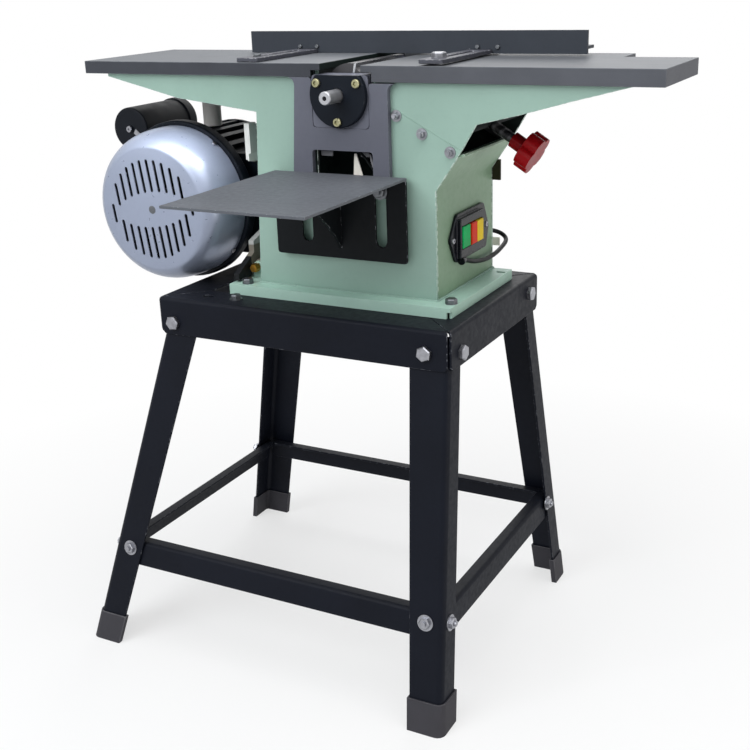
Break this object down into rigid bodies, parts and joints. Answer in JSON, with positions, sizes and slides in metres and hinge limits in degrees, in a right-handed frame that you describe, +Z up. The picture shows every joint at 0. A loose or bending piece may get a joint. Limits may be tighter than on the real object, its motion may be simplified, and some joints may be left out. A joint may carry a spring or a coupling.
{
  "type": "surface planer",
  "caption": "Hand-fed surface planer with two tables, slotted-bar fence, cutter with front mortising shelf, side-slung motor and switch, bolted to an open splayed steel stand.",
  "frame": {"origin": "on the floor, under the middle of the whole machine", "axes": "+X to the right along the tables, from the motor's side to the switch's side; +Y from the front, where the shelf and cutter's shaft end are, to the rear; +Z up"},
  "size_m": [0.7976, 0.5516, 0.8235],
  "materials": {
    "green_enamel": "pale green gloss enamel",
    "stand_enamel": "black satin enamel",
    "frame_grey": "grey satin enamel",
    "table_steel": "ground top with painted edges",
    "fence_grey": "dark grey satin enamel",
    "shelf_grey": "grey satin enamel",
    "bright_steel": "turned bright",
    "cast_iron": "as cast, machined faces",
    "black_enamel": "black gloss enamel",
    "silver_paint": "silver-blue metallic enamel",
    "rubber": "matte moulded rubber",
    "black_plastic": "black, slightly glossy",
    "crimson_plastic": "dark red, glossy",
    "green_plastic": "green, glossy",
    "red_plastic": "orange-red, glossy",
    "yellow_plastic": "yellow, glossy",
    "grey_paint": "light grey paint"
  },
  "bodies": {
    "root": {"apron_front": "stand_enamel", "apron_right": "stand_enamel", "apron_rear": "stand_enamel", "apron_left": "stand_enamel", "stretcher_front": "stand_enamel", "stretcher_right": "stand_enamel", "stretcher_rear": "stand_enamel", "stretcher_left": "stand_enamel", "leg_front_left": "stand_enamel", "leg_front_right": "stand_enamel", "leg_rear_left": "stand_enamel", "leg_rear_right": "stand_enamel", "foot_cap_front_left": "rubber", "foot_cap_front_right": "rubber", "foot_cap_rear_left": "rubber", "foot_cap_rear_right": "rubber", "drive_belt": "rubber", "base_skirt": "green_enamel", "front_plate": "green_enamel", "back_plate": "green_enamel", "right_wall": "green_enamel", "left_wall": "green_enamel", "cross_tie": "green_enamel", "chip_chute": "cast_iron", "way_front": "cast_iron", "way_rear": "cast_iron", "front_frame": "frame_grey", "bearing_block_front": "frame_grey", "bearing_block_rear": "frame_grey", "outfeed_table": "table_steel", "motor_plate": "grey_paint", "motor_stay": "grey_paint", "bearing_front": "bright_steel", "bearing_rear": "bright_steel", "bearing_cap": "black_enamel", "belt_guard": "black_enamel", "motor_end_ring": "black_enamel", "motor_frame": "black_enamel", "fan_cowl": "silver_paint", "capacitor": "black_plastic", "switch_box": "black_plastic", "switch_cable": "black_plastic"},
    "infeed": {"infeed_table": "table_steel", "infeed_carriage": "cast_iron"},
    "height_wheel": {"height_screw": "bright_steel", "height_knob": "crimson_plastic"},
    "fence": {"fence": "fence_grey", "slide_bar_left": "fence_grey", "slide_bar_right": "fence_grey"},
    "shelf": {"mortise_shelf": "shelf_grey"},
    "rotor": {"rotor_shaft": "bright_steel", "cooling_fan": "black_plastic", "motor_pulley": "cast_iron"},
    "cutter": {"cutter_block": "bright_steel", "knife_upper": "bright_steel", "knife_lower": "bright_steel", "cutter_pulley": "cast_iron"},
    "green_button": {"button_green": "green_plastic"},
    "red_button": {"button_red": "red_plastic"},
    "yellow_button": {"button_yellow": "yellow_plastic"}
  },
  "joints": [
    {"name": "height_turn", "type": "hinge", "parent": "root", "child": "height_wheel", "pos_m": [0.20515, 0.0442, 0.6975], "axis": [0.848, 0, -0.5299], "range_deg": [-864, 576]},
    {"name": "infeed_rise", "type": "slide", "parent": "root", "child": "infeed", "axis": [0.848, 0, -0.5299], "range_m": [-0.0036, 0.0024]},
    {"name": "fence_slide", "type": "slide", "parent": "root", "child": "fence", "axis": [0, 1, 0], "range_m": [-0.045, 0.02]},
    {"name": "shelf_height", "type": "slide", "parent": "root", "child": "shelf", "axis": [0, 0, 1], "range_m": [-0.002, 0.05]},
    {"name": "motor_spin", "type": "hinge", "parent": "root", "child": "rotor", "pos_m": [-0.27325, 0.0442, 0.606], "axis": [0, 1, 0], "continuous": true},
    {"name": "cutter_spin", "type": "hinge", "parent": "root", "child": "cutter", "pos_m": [0.00975, 0.0442, 0.759], "axis": [0, 1, 0], "continuous": true},
    {"name": "green_press", "type": "slide", "parent": "root", "child": "green_button", "axis": [-1, 0, 0], "range_m": [0, 0.0025], "stiffness_N_per_m": 400},
    {"name": "red_press", "type": "slide", "parent": "root", "child": "red_button", "axis": [-1, 0, 0], "range_m": [0, 0.0025], "stiffness_N_per_m": 400},
    {"name": "yellow_press", "type": "slide", "parent": "root", "child": "yellow_button", "axis": [-1, 0, 0], "range_m": [0, 0.0025], "stiffness_N_per_m": 400}
  ],
  "couplings": [
    {"joint": "height_turn", "follows": "infeed_rise", "rad_per_m": 4188.8},
    {"joint": "cutter_spin", "follows": "motor_spin", "ratio": 1.5}
  ]
}
